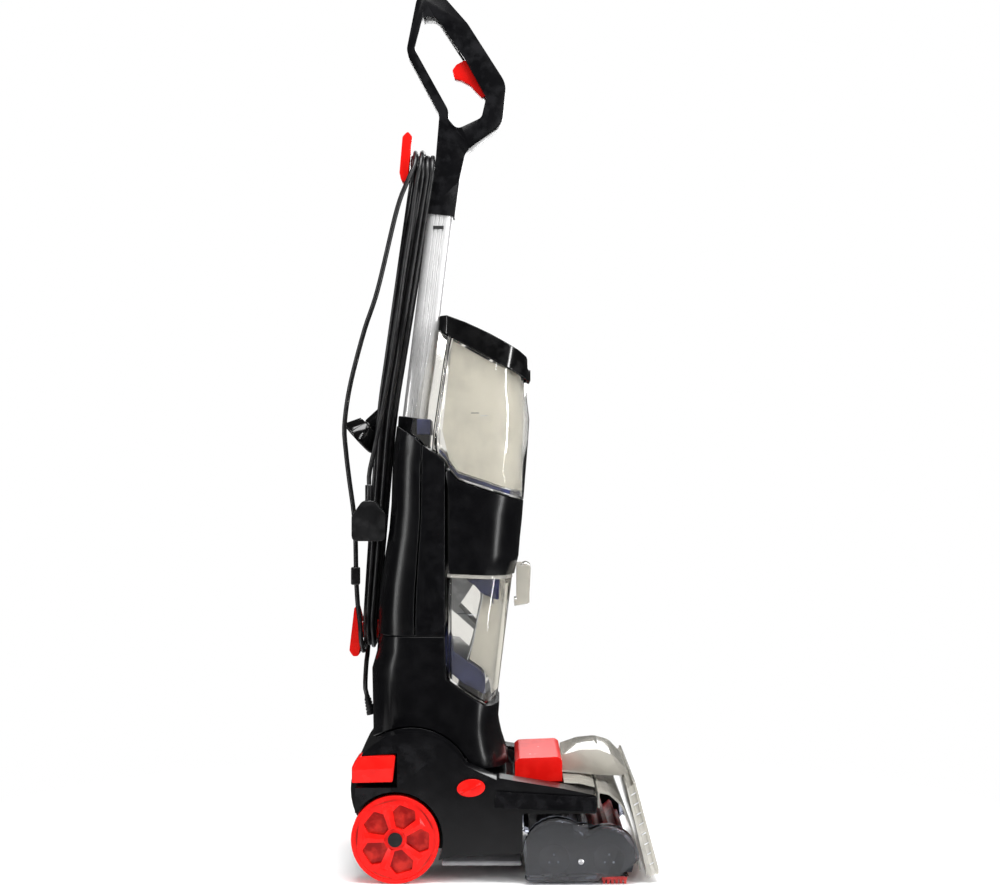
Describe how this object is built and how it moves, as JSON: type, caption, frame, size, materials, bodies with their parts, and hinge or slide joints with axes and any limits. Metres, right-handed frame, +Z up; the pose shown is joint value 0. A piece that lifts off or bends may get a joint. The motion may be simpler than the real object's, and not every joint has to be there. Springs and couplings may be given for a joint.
{
  "type": "upright carpet cleaner",
  "caption": "Upright carpet cleaner: reclining body with lift-off clean and dirty water tanks, triggered loop handle and wound mains cord, on a wheeled base with powered brush rolls.",
  "frame": {"origin": "on the floor, under the middle of the cleaner's box, without its mains cord", "axes": "+Z up, +X towards the cleaner's front, +Y towards the cleaner's left side"},
  "size_m": [0.3988, 0.31, 1.12],
  "materials": {
    "black_moulding": "fine-grained black moulding",
    "gloss_black": "polished black",
    "red_moulding": "smooth bright red",
    "clear_plastic": "clear, faintly beige",
    "smoke_plastic": "clear smoked grey",
    "aluminium": "brushed and anodised",
    "steel": "plain turned",
    "navy_moulding": "dark blue moulding",
    "grey_moulding": "mid grey",
    "rubber": "flexible black",
    "bristle": "dark nylon tufts"
  },
  "bodies": {
    "base": {"side_housing_right": "black_moulding", "side_housing_left": "black_moulding", "side_frame_right": "black_moulding", "side_frame_left": "black_moulding", "stub_axle_right": "steel", "stub_axle_left": "steel", "edge_brush_right": "red_moulding", "edge_brush_left": "red_moulding", "deck_cover": "black_moulding", "base_pan": "smoke_plastic", "spray_bar": "black_moulding", "brush_motor": "steel", "drive_belt": "rubber", "bearing_plate_right": "black_moulding", "bearing_plate_left": "black_moulding", "brush_cover_right": "smoke_plastic", "brush_cover_left": "smoke_plastic"},
    "wheel_right": {"rear_wheel_right": "red_moulding"},
    "wheel_left": {"rear_wheel_left": "red_moulding"},
    "motor_drive": {"motor_pulley": "steel"},
    "rear_brush": {"brush_roll_rear": "bristle"},
    "front_brush": {"brush_roll_front": "bristle"},
    "nozzle": {"hood_window": "clear_plastic", "nozzle_back_plate": "clear_plastic", "nozzle_front_plate": "clear_plastic", "nozzle_duct": "clear_plastic"},
    "latch": {"nozzle_latch": "red_moulding"},
    "foot_pedal": {"recline_pedal": "red_moulding"},
    "power_switch_pedal": {"power_pedal": "black_moulding"},
    "knob": {"selector_knob": "red_moulding"},
    "upright": {"lower_body": "black_moulding", "pivot_drum": "black_moulding", "rear_shell": "black_moulding", "tank_bay_liner": "black_moulding", "tube_socket": "black_moulding", "motor_pod": "black_moulding", "suction_motor": "steel", "handle_tube": "aluminium", "handle_shell_left": "black_moulding", "handle_shell_right": "black_moulding", "upper_hook_arm": "black_moulding", "lower_cord_hook": "red_moulding", "hose_port_cap": "gloss_black", "cord_hank": "rubber", "cord_strain_relief": "rubber", "cord_tail": "rubber", "cord_loose_run": "rubber", "cord_free_end": "rubber", "mains_plug": "rubber"},
    "fan": {"impeller": "grey_moulding"},
    "trigger_lever": {"trigger": "red_moulding"},
    "cord_hook": {"upper_cord_hook": "red_moulding"},
    "clean_water_tank": {"clean_tank": "clear_plastic", "clean_tank_valve": "grey_moulding", "clean_tank_lid": "gloss_black"},
    "dirty_water_tank": {"dirty_tank": "clear_plastic", "dirty_tank_lid": "navy_moulding", "dirty_tank_handle": "clear_plastic", "separator": "grey_moulding", "shut_off_float": "navy_moulding"}
  },
  "joints": [
    {"name": "recline", "type": "hinge", "parent": "base", "child": "upright", "pos_m": [-0.1105, 0, 0.1093], "axis": [0, -1, 0], "range_deg": [0, 60]},
    {"name": "wheel_right_spin", "type": "hinge", "parent": "base", "child": "wheel_right", "pos_m": [-0.129, -0.1335, 0.0545], "axis": [0, 1, 0], "continuous": true},
    {"name": "wheel_left_spin", "type": "hinge", "parent": "base", "child": "wheel_left", "pos_m": [-0.129, 0.1335, 0.0545], "axis": [0, 1, 0], "continuous": true},
    {"name": "motor_spin", "type": "hinge", "parent": "base", "child": "motor_drive", "pos_m": [0.098, -0.14, 0.06], "axis": [0, 1, 0], "continuous": true},
    {"name": "rear_brush_spin", "type": "hinge", "parent": "base", "child": "rear_brush", "pos_m": [0.066, 0, 0.029], "axis": [0, 1, 0], "continuous": true},
    {"name": "front_brush_spin", "type": "hinge", "parent": "base", "child": "front_brush", "pos_m": [0.134, 0, 0.029], "axis": [0, 1, 0], "continuous": true},
    {"name": "nozzle_draw_off", "type": "slide", "parent": "base", "child": "nozzle", "axis": [1, 0, 0], "range_m": [0, 0.06]},
    {"name": "latch_lift", "type": "hinge", "parent": "base", "child": "latch", "pos_m": [0.0225, 0, 0.1145], "axis": [0, -1, 0], "range_deg": [0, 20]},
    {"name": "recline_pedal_press", "type": "hinge", "parent": "base", "child": "foot_pedal", "pos_m": [-0.13, -0.135, 0.142], "axis": [0, -1, 0], "range_deg": [0, 5], "stiffness_Nm_per_rad": 2},
    {"name": "power_pedal_press", "type": "hinge", "parent": "base", "child": "power_switch_pedal", "pos_m": [-0.13, 0.135, 0.142], "axis": [0, -1, 0], "range_deg": [0, 5], "stiffness_Nm_per_rad": 2},
    {"name": "selector_turn", "type": "hinge", "parent": "base", "child": "knob", "pos_m": [-0.031, -0.15265, 0.119], "axis": [0, 1, 0], "range_deg": [0, 90]},
    {"name": "trigger_squeeze", "type": "hinge", "parent": "upright", "child": "trigger_lever", "pos_m": [-0.017, 0, 1], "axis": [0, 1, 0], "range_deg": [0, 8], "stiffness_Nm_per_rad": 1},
    {"name": "cord_hook_turn", "type": "hinge", "parent": "upright", "child": "cord_hook", "pos_m": [-0.12, 0, 0.89076], "axis": [-0.9885, 0, 0.151], "range_deg": [0, 180]},
    {"name": "impeller_spin", "type": "hinge", "parent": "upright", "child": "fan", "pos_m": [-0.023, 0, 0.449], "axis": [0, 0, 1], "continuous": true},
    {"name": "clean_tank_lift", "type": "slide", "parent": "upright", "child": "clean_water_tank", "axis": [0.1219, 0, 0.9925], "range_m": [0, 0.12]},
    {"name": "dirty_tank_draw_out", "type": "slide", "parent": "upright", "child": "dirty_water_tank", "axis": [0.9991, 0, -0.042], "range_m": [0, 0.1]}
  ],
  "couplings": [
    {"joint": "front_brush_spin", "follows": "rear_brush_spin", "ratio": 1},
    {"joint": "motor_spin", "follows": "rear_brush_spin", "ratio": 2.4889}
  ]
}
